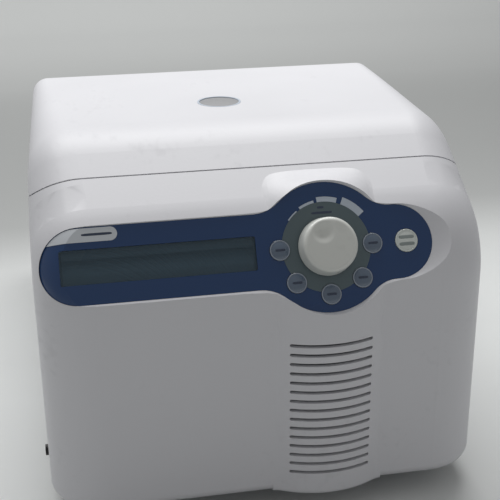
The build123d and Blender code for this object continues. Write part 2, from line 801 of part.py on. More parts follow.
with BuildPart() as lid_strikers:
    for side in latch_sides:
        half = striker_thick / 2
        x = (side * latch_x - half, side * latch_x + half)
        y = (latch_y - striker_wide / 2, latch_y + striker_wide / 2)
        bar = 3
        add(block(x, y, (striker_low, liner_high)))
        add(block(x, (y[0] + bar, y[1] - bar), striker_window), mode=Mode.SUBTRACT)
    add(under_liner, mode=Mode.INTERSECT)
save(lid_strikers.part, "lid_strikers")

# Hinges behind the lid
hinge_sides = (-hinge_x, hinge_x)
deck_z = parting_z + case_top
leaf_top = hinge_z + 20
ear_inner = knuckle_length / 2 + assembly_gap
ear_outer = ear_inner + ear_thick
bracket_depth = knuckle_radius - 0.5
side_plane = Plane(origin=(0, front_y + lid_rear + hinge_back, hinge_z), x_dir=(0, 1, 0), z_dir=(1, 0, 0))
with BuildPart() as hinge_leaves:
    for x in hinge_sides:
        with BuildSketch(side_plane.offset(x - knuckle_length / 2)):
            Circle(knuckle_radius)
            leaf_y = -hinge_back
            with Locations((leaf_y + 1, (leaf_top - hinge_z - knuckle_radius) / 2)):
                Rectangle(2, leaf_top - hinge_z + knuckle_radius)
            Circle(hinge_pin_radius + running_gap, mode=Mode.SUBTRACT)
        extrude(amount=knuckle_length)
save(hinge_leaves.part, "hinge_leaves")

with BuildPart() as hinge_brackets:
    for x in hinge_sides:
        for low in (x - ear_outer, x + ear_inner):
            with BuildSketch(side_plane.offset(low)):
                Circle(bracket_depth)
                with Locations((0, (deck_z - hinge_z) / 2)):
                    Rectangle(2 * bracket_depth, hinge_z - deck_z)
                Circle(hinge_pin_radius + running_gap, mode=Mode.SUBTRACT)
            extrude(amount=ear_thick)
        centre_y = lid_rear + hinge_back
        add(block((x - ear_outer, x + ear_outer), (centre_y - bracket_depth, centre_y + bracket_depth),
                  (deck_z, deck_z + 2.5)))
save(hinge_brackets.part, "hinge_brackets")

with BuildPart() as hinge_pins:
    for x in hinge_sides:
        add(rod((x, hinge_y, hinge_z), hinge_pin_radius, 2 * ear_outer + 2, (1, 0, 0)))
save(hinge_pins.part, "hinge_pins")

# Latches under the case's deck: a hook on each side swings into its striker's window
deck_skin = deck_z - case_wall
hook_half_y = 6
cheek_inner = hook_half_y + assembly_gap
cheek_outer = cheek_inner + cheek_thick
with BuildPart() as latch_brackets:
    for side in latch_sides:
        x = sorted((side * (hook_x - 5), side * (hook_x + 8)))
        add(block(x, (latch_y - cheek_outer, latch_y + cheek_outer), (deck_skin - cheek_thick, deck_skin)))
        for y in (latch_y - cheek_outer, latch_y + cheek_inner):
            add(block(x, (y, y + cheek_thick), (hook_pin_z - 6, deck_skin)))
        pin = (side * hook_x, front_y + latch_y, hook_pin_z)
        add(rod(pin, hook_pin_radius + running_gap, 4 * cheek_outer, (0, 1, 0)), mode=Mode.SUBTRACT)
save(latch_brackets.part, "latch_brackets")

with BuildPart() as latch_pins:
    for side in latch_sides:
        add(rod((side * hook_x, front_y + latch_y, hook_pin_z), hook_pin_radius, 2 * cheek_outer + 1, (0, 1, 0)))
save(latch_pins.part, "latch_pins")

for side, name in zip(latch_sides, ("left", "right")):
    with BuildPart() as latch_hook:
        y = (latch_y - hook_half_y, latch_y + hook_half_y)
        nose_y = (latch_y - hook_half_y + 3, latch_y + hook_half_y - 3)
        add(block(sorted((side * (hook_x - 3), side * (hook_x + 3))), y, (hook_pin_z, hook_nose_z + 2)))
        add(rod((side * hook_x, front_y + latch_y, hook_pin_z), 5, 2 * hook_half_y, (0, 1, 0)))
        add(block(sorted((side * (hook_x - 9), side * (hook_x - 3))), nose_y, (hook_nose_z - 2, hook_nose_z + 2)))
        pin = (side * hook_x, front_y + latch_y, hook_pin_z)
        add(rod(pin, hook_pin_radius + running_gap, 4 * hook_half_y, (0, 1, 0)), mode=Mode.SUBTRACT)
    save(latch_hook.part, f"latch_hook_{name}")

# Rotor chamber, turned about its upright axis
chamber_plane = Plane(origin=(*chamber, 0), x_dir=(1, 0, 0), z_dir=(0, -1, 0))
chamber_axis = Axis((*chamber, 0), (0, 0, 1))
bowl_outer = bowl_radius + bowl_wall
bowl_flange = seat_radius - 4
flange_top = seat_z + bowl_wall
bowl_corner = 12


def turned(points):
    """solid turned from a section of radius and height points"""
    with BuildPart(mode=Mode.PRIVATE) as body:
        with BuildSketch(chamber_plane):
            with BuildLine():
                Polyline(*points, close=True)
            make_face()
        revolve(axis=chamber_axis)
    return body.part


with BuildPart() as chamber_bowl:
    with BuildSketch(chamber_plane):
        with BuildLine():
            under = bowl_floor_z - bowl_wall
            Polyline(
                (bowl_hole_radius, under), (bowl_outer, under), (bowl_outer, seat_z), (bowl_flange, seat_z),
                (bowl_flange, flange_top), (bowl_radius, flange_top), (bowl_radius, bowl_floor_z),
                (bowl_hole_radius, bowl_floor_z), close=True,
            )
        bowl_face = make_face()
        low = [v for v in bowl_face.vertices() if v.Y < bowl_floor_z + 1 and v.X > bowl_radius - 1]
        outer_low = sorted(low, key=lambda v: v.Y)
        fillet(outer_low[0], bowl_corner + bowl_wall)
        low = [v for v in bowl_face.vertices() if abs(v.Y - bowl_floor_z) < 0.01 and abs(v.X - bowl_radius) < 0.01]
        fillet(low, bowl_corner)
    revolve(axis=chamber_axis)
save(chamber_bowl.part, "chamber_bowl")

gasket_inner = bowl_radius + 3
with BuildPart() as chamber_gasket:
    add(disc(chamber, bowl_flange, flange_top, flange_top + gasket_height))
    add(disc(chamber, gasket_inner, flange_top, flange_top + gasket_height), mode=Mode.SUBTRACT)
save(chamber_gasket.part, "chamber_gasket")

jacket_outer = bowl_outer + skin_gap + jacket_thick
with BuildPart() as cooling_jacket:
    add(disc(chamber, jacket_outer, jacket_low, jacket_high))
    add(disc(chamber, bowl_outer + skin_gap, jacket_low, jacket_high), mode=Mode.SUBTRACT)
save(cooling_jacket.part, "cooling_jacket")

foam_inner = jacket_outer + skin_gap
foam_outer = foam_inner + foam_thick
foam_top = seat_z - seat_thick - skin_gap
foam_low = shelf_z + shelf_thick
foam_hole = motor_radius + 2
foam_points = [(foam_hole, foam_low), (foam_outer, foam_low), (foam_outer, foam_top), (foam_inner, foam_top),
               (foam_inner, under - skin_gap), (foam_hole, under - skin_gap)]
save(turned(foam_points), "chamber_insulation")

armour_inner = foam_outer + assembly_gap
armour_outer = armour_inner + armour_thick
pan_top = foot_height + pan_thick
armour_points = [(armour_inner, pan_top), (armour_outer, pan_top), (armour_outer, foam_top), (armour_inner, foam_top),
                 (armour_inner, foam_low), (foam_hole + 10, foam_low), (foam_hole + 10, shelf_z),
                 (armour_inner, shelf_z)]
save(turned(armour_points), "armour_ring")

# Drive: rubber mounts, motor and the spindle through the bowl's floor
plate_low = motor_low - motor_plate_thick
mount_centres = [(chamber[0] + mount_circle_radius * cos(radians(t)), chamber[1] + mount_circle_radius * sin(radians(t)))
                 for t in (90, 210, 330)]
with BuildPart() as motor_mounts:
    for centre in mount_centres:
        add(disc(centre, mount_radius, pan_top, plate_low))
save(motor_mounts.part, "motor_mounts")
save(disc(chamber, mount_circle_radius + mount_radius + 2, plate_low, motor_low), "motor_plate")

with BuildPart() as drive_motor:
    add(disc(chamber, motor_radius + 4, motor_low, motor_low + 4))
    add(disc(chamber, motor_radius, motor_low, motor_high))
    rim = drive_motor.edges().filter_by(GeomType.CIRCLE).sort_by(Axis.Z)[-1]
    chamfer(rim, 3)
    add(disc(chamber, spindle_radius + running_gap, motor_high - 12, motor_high), mode=Mode.SUBTRACT)
save(drive_motor.part, "drive_motor")

collar_low = bowl_floor_z + 1.5
spindle_top = rotor_z + 32
spindle_points = [(0, motor_high - 11), (spindle_radius, motor_high - 11), (spindle_radius, collar_low),
                  (collar_radius, collar_low), (collar_radius, rotor_z), (spindle_radius, rotor_z),
                  (spindle_radius, spindle_top), (0, spindle_top)]
save(turned(spindle_points), "motor_spindle")

seal_inner = spindle_radius + assembly_gap
seal_points = [(seal_inner, under - 1), (bowl_hole_radius - skin_gap, under - 1),
               (bowl_hole_radius - skin_gap, bowl_floor_z), (bowl_hole_radius + 4, bowl_floor_z),
               (bowl_hole_radius + 4, bowl_floor_z + 1), (seal_inner, bowl_floor_z + 1)]
save(turned(seal_points), "spindle_seal")

# Fixed-angle rotor: a funnel whose face is square to the tubes
lean = radians(tube_angle)
mouth_z = rotor_z + tube_floor + tube_depth * sin(lean) + tube_radius * cos(lean)
hub_z = mouth_z - (mouth_radius - rotor_hub_radius) * tan(lean)
rim_z = mouth_z + (rotor_rim_radius - 4 - mouth_radius) * tan(lean)
rotor_bore = spindle_radius + running_gap
rotor_points = [(rotor_bore, rotor_z), (rotor_rim_radius, rotor_z), (rotor_radius, rotor_z + 19),
                (rotor_radius, rotor_z + 30), (rotor_rim_radius, rim_z + 2), (rotor_rim_radius - 2, rim_z + 2),
                (rotor_rim_radius - 4, rim_z), (rotor_hub_radius, hub_z), (rotor_bore, hub_z)]
rotor_blank = turned(rotor_points)
with BuildPart() as rotor:
    add(rotor_blank)
    for place in range(tube_count):
        turn = radians(360 / tube_count * place)
        out = Vector(cos(turn) * cos(lean), sin(turn) * cos(lean), -sin(lean))
        mouth = Vector(chamber[0] + mouth_radius * cos(turn), chamber[1] + mouth_radius * sin(turn), mouth_z)
        clear = tube_radius
        add(rod(mouth + out * ((tube_depth - clear) / 2), tube_radius, tube_depth + clear, out), mode=Mode.SUBTRACT)
save(rotor.part, "rotor")

with BuildPart() as rotor_nut:
    with BuildSketch(Plane.XY.offset(hub_z)):
        with Locations(chamber):
            Circle(nut_radius)
            with PolarLocations(nut_radius + 1, 6):
                Circle(3, mode=Mode.SUBTRACT)
    extrude(amount=nut_height)
    add(disc(chamber, rotor_bore, hub_z, spindle_top + 1), mode=Mode.SUBTRACT)
save(rotor_nut.part, "rotor_nut")

# Base pan: a tray inside the case's flange, its lip on the flange, with tabs for the side screws
flange_top_z = foot_height + flange_thick
tray_gap = flange_width + assembly_gap
with BuildPart() as base_pan:
    add(plan_block(tray_gap, foot_height, flange_top_z + pan_thick))
    add(plan_block(0.5, flange_top_z, flange_top_z + pan_thick))
    add(plan_block(tray_gap + pan_thick, pan_top, flange_top_z + pan_thick + 1), mode=Mode.SUBTRACT)
    for side in latch_sides:
        inner_x = half_width - case_wall - 0.5
        x = sorted((side * (inner_x - pan_thick), side * inner_x))
        add(block(x, (side_screw_y - 6, side_screw_y + 14), (flange_top_z, side_screw_z + 10)))
        screw_place = (side * half_width, front_y + side_screw_y, side_screw_z)
        add(rod(screw_place, side_screw_radius + running_gap, 20, (1, 0, 0)), mode=Mode.SUBTRACT)
        for y in (foot_front_y, foot_rear_y):
            add(disc((side * foot_x, front_y + y), 3 + running_gap, foot_height - 1, pan_top + 1), mode=Mode.SUBTRACT)
save(base_pan.part, "base_pan")

with BuildPart() as rubber_feet:
    for side in latch_sides:
        for y in (foot_front_y, foot_rear_y):
            centre = (side * foot_x, front_y + y)
            with BuildSketch(Plane.XY.offset(foot_height)):
                with Locations(centre):
                    Circle(foot_radius)
            extrude(amount=-foot_height, taper=4)
            add(disc(centre, 3, foot_height, pan_top + 3))
save(rubber_feet.part, "rubber_feet")

with BuildPart() as side_screws:
    for side in latch_sides:
        screw_place = (side * (half_width - 4), front_y + side_screw_y, side_screw_z)
        add(rod(screw_place, side_screw_radius, 8, (1, 0, 0)))
        head = (side * (half_width + side_head_height / 2), front_y + side_screw_y, side_screw_z)
        add(rod(head, side_head_radius, side_head_height, (1, 0, 0)))
save(side_screws.part, "side_screws")

# Cooling: compressor on grommets, condenser and fan
compressor_centre = (compressor_x, front_y + compressor_y)
plate_half = compressor_radius - 2
foot_centres = [(compressor_x + sx * (plate_half - 9), compressor_y + sy * (plate_half - 9))
                for sx in (-1, 1) for sy in (-1, 1)]
plate_z = pan_top + grommet_height
with BuildPart() as compressor:
    add(disc(compressor_centre, compressor_radius, plate_z + 3, plate_z + compressor_height))
    domes = compressor.edges().filter_by(GeomType.CIRCLE).group_by(Axis.Z)
    fillet(domes[-1], 24)
    add(block((compressor_x - plate_half, compressor_x + plate_half),
              (compressor_y - plate_half, compressor_y + plate_half), (plate_z, plate_z + 3)))
    add(disc((compressor_x + 20, front_y + compressor_y), 4, plate_z + compressor_height - 4,
             plate_z + compressor_height + 12))
save(compressor.part, "compressor")

with BuildPart() as compressor_grommets:
    for x, y in foot_centres:
        add(disc((x, front_y + y), grommet_radius, pan_top, plate_z))
save(compressor_grommets.part, "compressor_grommets")

panel_back = case_depth - case_wall
panel_front = panel_back - rear_panel_thick
fan_front = panel_front - fan_depth
condenser_low = pan_top
fan_half = fan_width / 2
with BuildPart() as condenser:
    for index in range(fin_count):
        x = fan_x - fan_half + index * (fan_width - fin_thick) / (fin_count - 1)
        add(block((x, x + fin_thick), (fan_front - condenser_depth, fan_front),
                  (condenser_low, condenser_low + condenser_height)))
    for row in range(5):
        z = condenser_low + condenser_height * (row + 0.5) / 5
        add(rod((fan_x, front_y + fan_front - condenser_depth / 2, z), 4, fan_width, (1, 0, 0)))
save(condenser.part, "condenser")

fan_plane = Plane(origin=(fan_x, front_y + fan_front, fan_z), x_dir=(1, 0, 0), z_dir=(0, 1, 0))
stator_depth = 6
screw_pitch = fan_width - 15
fan_screw_radius = 1.6
with BuildPart() as fan_frame:
    with BuildSketch(fan_plane):
        RectangleRounded(fan_width, fan_width, 4)
        Circle(fan_bore_radius, mode=Mode.SUBTRACT)
        with GridLocations(screw_pitch, screw_pitch, 2, 2):
            Circle(fan_screw_radius + running_gap, mode=Mode.SUBTRACT)
    extrude(amount=fan_depth)
    with BuildSketch(fan_plane.offset(fan_depth - stator_depth)):
        Circle(fan_hub_radius - 1)
        with PolarLocations(fan_bore_radius / 2, 4, start_angle=45):
            Rectangle(fan_bore_radius + 1, 6)
    extrude(amount=stator_depth)
    with BuildSketch(fan_plane.offset(4)):
        Circle(fan_shaft_radius)
    extrude(amount=fan_depth - 5)
save(fan_frame.part, "fan_frame")

hub_depth = fan_depth - stator_depth - 3
with BuildPart() as condenser_fan:
    with BuildSketch(fan_plane.offset(2)):
        Circle(fan_hub_radius)
    extrude(amount=hub_depth)
    for place in range(fan_blades):
        spun = fan_plane.location * Location((0, 0, 2 + hub_depth / 2), (0, 0, 360 / fan_blades * place))
        blade = Plane(spun * Location((0, 0, 0), (blade_pitch, 0, 0)))
        blade_reach = fan_bore_radius - 1.5 - fan_hub_radius + 3
        with BuildSketch(blade):
            with Locations((fan_hub_radius - 3 + blade_reach / 2, 0)):
                Rectangle(blade_reach, 1.6)
        extrude(amount=9, both=True)
    with BuildSketch(fan_plane):
        Circle(fan_shaft_radius + running_gap)
    extrude(amount=fan_depth, mode=Mode.SUBTRACT)
save(condenser_fan.part, "condenser_fan")

# Rear: panel, power entry module and the supply board
panel_x = (rear_opening_x[0] - panel_margin, rear_opening_x[1] + panel_margin)
panel_z_span = (flange_top_z + pan_thick, rear_opening_z[1] + panel_margin)
rear_face = Plane(origin=(0, front_y + panel_back, 0), x_dir=(1, 0, 0), z_dir=(0, -1, 0))
grille_rows = 13
grille_pitch = 2 * (fan_bore_radius - 3) / grille_rows
entry_body_width = entry_width - 4
entry_body_height = entry_height - 6
with BuildPart() as rear_panel:
    add(block(panel_x, (panel_front, panel_back), panel_z_span))
    add(block(panel_x, (panel_front - 9, panel_front), (panel_z_span[0], panel_z_span[0] + rear_panel_thick)))
    with BuildSketch(rear_face):
        for row in range(grille_rows):
            height = (row - (grille_rows - 1) / 2) * grille_pitch
            reach = ((fan_bore_radius - 2) ** 2 - height ** 2) ** 0.5
            with Locations((fan_x, fan_z + height)):
                SlotOverall(2 * reach, grille_pitch * 0.6)
        with Locations((fan_x, fan_z)):
            with GridLocations(screw_pitch, screw_pitch, 2, 2):
                Circle(fan_screw_radius + running_gap)
        with Locations((entry_x, entry_z)):
            Rectangle(entry_body_width + 2 * skin_gap, entry_body_height + 2 * skin_gap)
    extrude(amount=rear_panel_thick + 1, mode=Mode.SUBTRACT)
save(rear_panel.part, "rear_panel")

with BuildPart() as rear_screws:
    for sx in (-1, 1):
        for sz in (-1, 1):
            x, z = fan_x + sx * screw_pitch / 2, fan_z + sz * screw_pitch / 2
            add(rod((x, front_y + panel_back - 4, z), fan_screw_radius, 8, (0, 1, 0)))
            add(rod((x, front_y + panel_back + 0.9, z), 3.2, 1.8, (0, 1, 0)))
save(rear_screws.part, "rear_screws")

entry_y = panel_back - 26
entry_face = panel_back + flange_proud
rocker_y = entry_face - 1
rocker_axle_y = rocker_y - 5
rocker_well = rocker_axle_y - 6
fuse_front = entry_face - fuse_depth
with BuildPart() as inlet_socket:
    add(block((entry_x - entry_width / 2, entry_x + entry_width / 2), (panel_back, entry_face),
              (entry_z - entry_height / 2, entry_z + entry_height / 2)))
    add(block((entry_x - entry_body_width / 2, entry_x + entry_body_width / 2), (entry_y, panel_back),
              (entry_z - entry_body_height / 2, entry_z + entry_body_height / 2)))
    add(block((entry_x - inlet_width / 2, entry_x + inlet_width / 2), (entry_face - inlet_depth, entry_face + 1),
              (inlet_z - inlet_height / 2, inlet_z + inlet_height / 2)), mode=Mode.SUBTRACT)
    add(block((entry_x - rocker_width / 2, entry_x + rocker_width / 2), (rocker_well, entry_face + 1),
              (rocker_z - rocker_height / 2, rocker_z + rocker_height / 2)), mode=Mode.SUBTRACT)
    add(rod((entry_x, front_y + rocker_axle_y, rocker_z), rocker_axle_radius + running_gap, rocker_width + 5,
            (1, 0, 0)), mode=Mode.SUBTRACT)
    add(block((entry_x - fuse_width / 2, entry_x + fuse_width / 2), (fuse_front, entry_face + 1),
              (fuse_z - fuse_height / 2, fuse_z + fuse_height / 2)), mode=Mode.SUBTRACT)
    for dx, dz in ((0, 3.5), (-7, -2.5), (7, -2.5)):
        add(block((entry_x + dx - 1 - running_gap, entry_x + dx + 1 + running_gap),
                  (entry_y + 2, entry_face - inlet_depth), (inlet_z + dz - 2.05, inlet_z + dz + 2.05)),
            mode=Mode.SUBTRACT)
save(inlet_socket.part, "inlet_socket")

with BuildPart() as inlet_pins:
    for dx, dz in ((0, 3.5), (-7, -2.5), (7, -2.5)):
        add(block((entry_x + dx - 1, entry_x + dx + 1), (entry_y + 2, entry_face - inlet_depth + pin_length),
                  (inlet_z + dz - 2, inlet_z + dz + 2)))
save(inlet_pins.part, "inlet_pins")

with BuildPart() as power_rocker:
    half_rocker = rocker_height / 2 - 1
    rocker_plane = Plane(origin=(entry_x, front_y + rocker_axle_y, rocker_z), x_dir=(0, 1, 0), z_dir=(1, 0, 0))
    with BuildSketch(rocker_plane):
        with BuildLine():
            Polyline((-1, -half_rocker), (5.5, -half_rocker + 0.5), (4, 0), (5.5, half_rocker - 0.5), (-1, half_rocker),
                     (-4, 0), close=True)
        make_face()
    extrude(amount=rocker_width / 2 - assembly_gap, both=True)
    add(rod((entry_x, front_y + rocker_axle_y, rocker_z), rocker_axle_radius, rocker_width + 4, (1, 0, 0)))
save(power_rocker.part, "power_rocker")

with BuildPart() as fuse_drawer:
    half_fuse = (fuse_width / 2 - running_gap, fuse_height / 2 - running_gap)
    add(block((entry_x - half_fuse[0], entry_x + half_fuse[0]), (fuse_front + 0.5, entry_face),
              (fuse_z - half_fuse[1], fuse_z + half_fuse[1])))
    add(block((entry_x - fuse_width / 2 - 1, entry_x + fuse_width / 2 + 1), (entry_face, entry_face + 1.5),
              (fuse_z - fuse_height / 2 - 1, fuse_z + fuse_height / 2 + 1)))
save(fuse_drawer.part, "fuse_drawer")

supply_x = (-128, -50)
supply_y = (fan_front - condenser_depth, panel_front - 11)
post_places = [(x, front_y + y) for x in (supply_x[0] + 32, supply_x[1] - 6) for y in (supply_y[0] + 6, supply_y[1] - 6)]
with BuildPart() as power_board:
    add(block(supply_x, supply_y, (power_board_z, power_board_z + board_thick)))
    for centre in post_places:
        add(disc(centre, spacer_radius, pan_top, power_board_z))
save(power_board.part, "power_board")

sink_low = power_board_z + board_thick
with BuildPart() as heat_sink:
    add(block((supply_x[0] + 5, supply_x[0] + 45), (supply_y[0] + 4, supply_y[1] - 4), (sink_low, sink_low + 4)))
    for fin in range(6):
        x = supply_x[0] + 5 + fin * (40 - 2) / 5
        add(block((x, x + 2), (supply_y[0] + 4, supply_y[1] - 4), (sink_low, sink_low + 26)))
save(heat_sink.part, "heat_sink")
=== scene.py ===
# Refrigerated microcentrifuge: finishes, small visible pieces, light and camera.
# Metres, in the frame of the CAD model: X to the right, Y to the back, Z up.
import json
import math

import bpy
import numpy as np
from mathutils import Matrix, Vector

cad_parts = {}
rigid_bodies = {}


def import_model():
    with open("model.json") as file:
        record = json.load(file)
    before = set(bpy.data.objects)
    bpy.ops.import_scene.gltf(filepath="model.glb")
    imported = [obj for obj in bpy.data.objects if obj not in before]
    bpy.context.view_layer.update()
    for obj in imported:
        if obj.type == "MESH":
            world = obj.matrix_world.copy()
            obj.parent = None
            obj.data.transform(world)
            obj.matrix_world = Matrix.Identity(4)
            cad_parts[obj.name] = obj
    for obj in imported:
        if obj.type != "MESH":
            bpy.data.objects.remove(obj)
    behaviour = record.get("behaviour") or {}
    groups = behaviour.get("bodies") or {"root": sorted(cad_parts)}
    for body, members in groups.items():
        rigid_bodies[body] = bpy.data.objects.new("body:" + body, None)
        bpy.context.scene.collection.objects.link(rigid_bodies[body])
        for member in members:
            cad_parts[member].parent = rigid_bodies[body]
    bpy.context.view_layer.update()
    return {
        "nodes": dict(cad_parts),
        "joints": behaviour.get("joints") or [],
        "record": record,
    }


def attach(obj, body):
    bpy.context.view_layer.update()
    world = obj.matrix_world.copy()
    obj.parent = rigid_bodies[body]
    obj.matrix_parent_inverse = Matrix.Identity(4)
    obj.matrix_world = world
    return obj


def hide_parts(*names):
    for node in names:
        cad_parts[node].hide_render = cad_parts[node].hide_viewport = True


for leftover in list(bpy.data.objects):
    bpy.data.objects.remove(leftover)
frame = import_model()
print("frame loaded:", len(frame["nodes"]), "nodes")


def screenColour(red, green, blue):
    # a colour as seen on a screen, 0 to 255, turned by the sRGB curve into a shader's linear colour
    parts = [c / 255 for c in (red, green, blue)]
    return [c / 12.92 if c <= 0.04045 else ((c + 0.055) / 1.055) ** 2.4 for c in parts] + [1.0]


def scaled(colour, share):
    return [c * share for c in colour[:3]] + [1.0]


# Shared shader groups
# a noise is (scale, detail), with its scale counted per metre of the object
patterns = {
    "fineGrain": (1600, 3),
    "broadGrain": (420, 2),
    "grainCloud": (9, 3),
    "brushedLines": (24, 4),
    "brushedCloud": (30, 2),
    "scuffSpecks": (150, 5),
    "scuffPatches": (14, 2),
    "paperCloud": (1.2, 2),
}
fineWeight = 0.6
linesAlongX = (1, 60, 60)
linesAlongZ = (60, 60, 1)
speckSpread = (1.0, 0.35, 1.0)
scuffRange = (0.34, 0.46)


def newGroup(name, inputs, outputs):
    group = bpy.data.node_groups.new(name, "ShaderNodeTree")
    for label, kind, value in inputs:
        socket = group.interface.new_socket(label, in_out="INPUT", socket_type=kind)
        if value is not None:
            socket.default_value = value
    for label, kind in outputs:
        group.interface.new_socket(label, in_out="OUTPUT", socket_type=kind)
    return group, group.nodes.new("NodeGroupInput"), group.nodes.new("NodeGroupOutput")


def addNoise(tree, place, pattern, spread=None):
    # noise read at place; spread stretches the place first
    noise = tree.nodes.new("ShaderNodeTexNoise")
    noise.inputs["Scale"].default_value, noise.inputs["Detail"].default_value = patterns[pattern]
    if spread:
        mapping = tree.nodes.new("ShaderNodeMapping")
        mapping.inputs["Scale"].default_value = spread
        tree.links.new(place, mapping.inputs["Vector"])
        place = mapping.outputs["Vector"]
    tree.links.new(place, noise.inputs["Vector"])
    return noise


def addMath(tree, operation, first, second):
    node = tree.nodes.new("ShaderNodeMath")
    node.operation = operation
    for socket, value in zip(node.inputs, (first, second)):
        if isinstance(value, (int, float)):
            socket.default_value = value
        else:
            tree.links.new(value, socket)
    return node.outputs[0]


def makeGrainGroup():
    # moulded skin: fine grain as height, and slow clouds that shift tone and gloss a little
    group, start, end = newGroup(
        "mouldedGrain",
        [("Place", "NodeSocketVector", None), ("Grain Size", "NodeSocketFloat", 1.0)],
        [("Height", "NodeSocketFloat"), ("Cloud", "NodeSocketFloat")],
    )
    size = group.nodes.new("ShaderNodeVectorMath")
    size.operation = "SCALE"
    group.links.new(start.outputs["Place"], size.inputs[0])
    group.links.new(start.outputs["Grain Size"], size.inputs["Scale"])
    fine = addNoise(group, size.outputs[0], "fineGrain")
    broad = addNoise(group, size.outputs[0], "broadGrain")
    cloud = addNoise(group, start.outputs["Place"], "grainCloud")
    height = addMath(group, "MULTIPLY_ADD", fine.outputs["Fac"], fineWeight)
    group.links.new(broad.outputs["Fac"], height.node.inputs[2])
    group.links.new(height, end.inputs["Height"])
    group.links.new(cloud.outputs["Fac"], end.inputs["Cloud"])
    return group


def makeBrushGroup():
    # brushed or drawn metal: noise pulled long along one direction
    group, start, end = newGroup(
        "brushedLines",
        [("Place", "NodeSocketVector", None), ("Stretch", "NodeSocketVector", linesAlongX)],
        [("Height", "NodeSocketFloat"), ("Cloud", "NodeSocketFloat")],
    )
    stretch = group.nodes.new("ShaderNodeVectorMath")
    stretch.operation = "MULTIPLY"
    group.links.new(start.outputs["Place"], stretch.inputs[0])
    group.links.new(start.outputs["Stretch"], stretch.inputs[1])
    lines = addNoise(group, stretch.outputs[0], "brushedLines")
    cloud = addNoise(group, start.outputs["Place"], "brushedCloud")
    group.links.new(lines.outputs["Fac"], end.inputs["Height"])
    group.links.new(cloud.outputs["Fac"], end.inputs["Cloud"])
    return group


def makeScuffGroup():
    # handling marks: sparse short specks, 1 where the surface is dull
    group, start, end = newGroup(
        "handlingScuffs",
        [("Place", "NodeSocketVector", None)],
        [("Mask", "NodeSocketFloat")],
    )
    specks = addNoise(group, start.outputs["Place"], "scuffSpecks", speckSpread)
    patches = addNoise(group, start.outputs["Place"], "scuffPatches")
    both = addMath(group, "MULTIPLY", specks.outputs["Fac"], patches.outputs["Fac"])
    ramp = group.nodes.new("ShaderNodeMapRange")
    ramp.inputs["From Min"].default_value, ramp.inputs["From Max"].default_value = scuffRange
    group.links.new(both, ramp.inputs["Value"])
    group.links.new(ramp.outputs["Result"], end.inputs["Mask"])
    return group


grainGroup = makeGrainGroup()
brushGroup = makeBrushGroup()
scuffGroup = makeScuffGroup()

# Materials. "less" and "more" are how far roughness swings below and above its mean, "dark",
# "light" and "pore" are shares of the colour, "cells" are counted per metre, and a bump is in metres.
kinds = {
    "moulded": {"less": 0.03, "more": 0.04, "wornTone": 0.97, "wornRough": 0.08},
    "drawn": {"less": 0.07, "more": 0.1},
    "sheet": {"metal": 0.85, "cells": 130, "dark": 0.82, "less": 0.08, "more": 0.1, "grain": 0.5,
              "bump": 0.00001},
    "rubber": {"shine": 0.3, "dark": 0.75, "light": 1.25, "rough": (0.62, 0.8), "grain": 0.7,
               "bump": 0.00004},
    "foam": {"rough": 0.95, "cells": 700, "dark": 0.85, "pore": 0.6, "poreReach": 0.7, "bump": 0.0003},
    "board": {"shine": 0.6, "light": 1.6, "dark": 0.8, "rough": (0.3, 0.45), "bump": 0.00003},
    "film": {"less": 0.02, "more": 0.04, "grain": 0.28, "bump": 0.000004},
    "crystal": {"rough": (0.2, 0.3)},
    "cover": {"coat": 0.5, "coatRough": 0.05, "less": 0.02, "more": 0.03, "grain": 0.3, "dark": 0.95},
}
boardRuns = {"Scale": 90.0, "Mortar Size": 0.04, "Brick Width": 0.9, "Row Height": 0.12}
characterCells = {"Scale": 1.0, "Mortar Size": 0.0007, "Brick Width": 0.0058, "Row Height": 0.0098}


def startMaterial(name, **plain):
    # a Principled shader with its plain values set, and the object's own place to read patterns from
    material = bpy.data.materials.new(name)
    material.use_nodes = True
    tree = material.node_tree
    shader = tree.nodes["Principled BSDF"]
    for label, value in plain.items():
        shader.inputs[label.replace("_", " ")].default_value = value
    place = tree.nodes.new("ShaderNodeTexCoord").outputs["Object"]
    return material, tree, shader, place


def addGroup(tree, group, place, **values):
    node = tree.nodes.new("ShaderNodeGroup")
    node.node_tree = group
    tree.links.new(place, node.inputs["Place"])
    for label, value in values.items():
        node.inputs[label.replace("_", " ")].default_value = value
    return node


def addTexture(tree, kind, place, values):
    # a pattern node read at place, with the named inputs set
    node = tree.nodes.new(kind)
    for label, value in values.items():
        node.inputs[label].default_value = value
    tree.links.new(place, node.inputs["Vector"])
    return node


def mixColours(tree, share, first, second, target):
    mix = tree.nodes.new("ShaderNodeMix")
    mix.data_type = "RGBA"
    sockets = [s for s in mix.inputs if s.type == "RGBA"]
    for socket, value in zip(sockets, (first, second)):
        if isinstance(value, (list, tuple)):
            socket.default_value = value
        else:
            tree.links.new(value, socket)
    tree.links.new(share, mix.inputs["Factor"])
    result = next(s for s in mix.outputs if s.type == "RGBA")
    if target is not None:
        tree.links.new(result, target)
    return result


def mapValue(tree, value, low, high, target, inLow=0.3, inHigh=0.7):
    # a value, by default a noise that runs from about 0.3 to 0.7, carried over to low and high
    node = tree.nodes.new("ShaderNodeMapRange")
    for label, number in (("From Min", inLow), ("From Max", inHigh), ("To Min", low), ("To Max", high)):
        node.inputs[label].default_value = number
    tree.links.new(value, node.inputs["Value"])
    if target is not None:
        tree.links.new(node.outputs["Result"], target)
    return node.outputs["Result"]


def swing(rough, kind):
    return rough - kind["less"], rough + kind["more"]


def addBump(tree, height, shader, depth):
    bump = tree.nodes.new("ShaderNodeBump")
    bump.inputs["Strength"].default_value = 1.0
    bump.inputs["Distance"].default_value = depth
    tree.links.new(height, bump.inputs["Height"])
    tree.links.new(bump.outputs["Normal"], shader.inputs["Normal"])


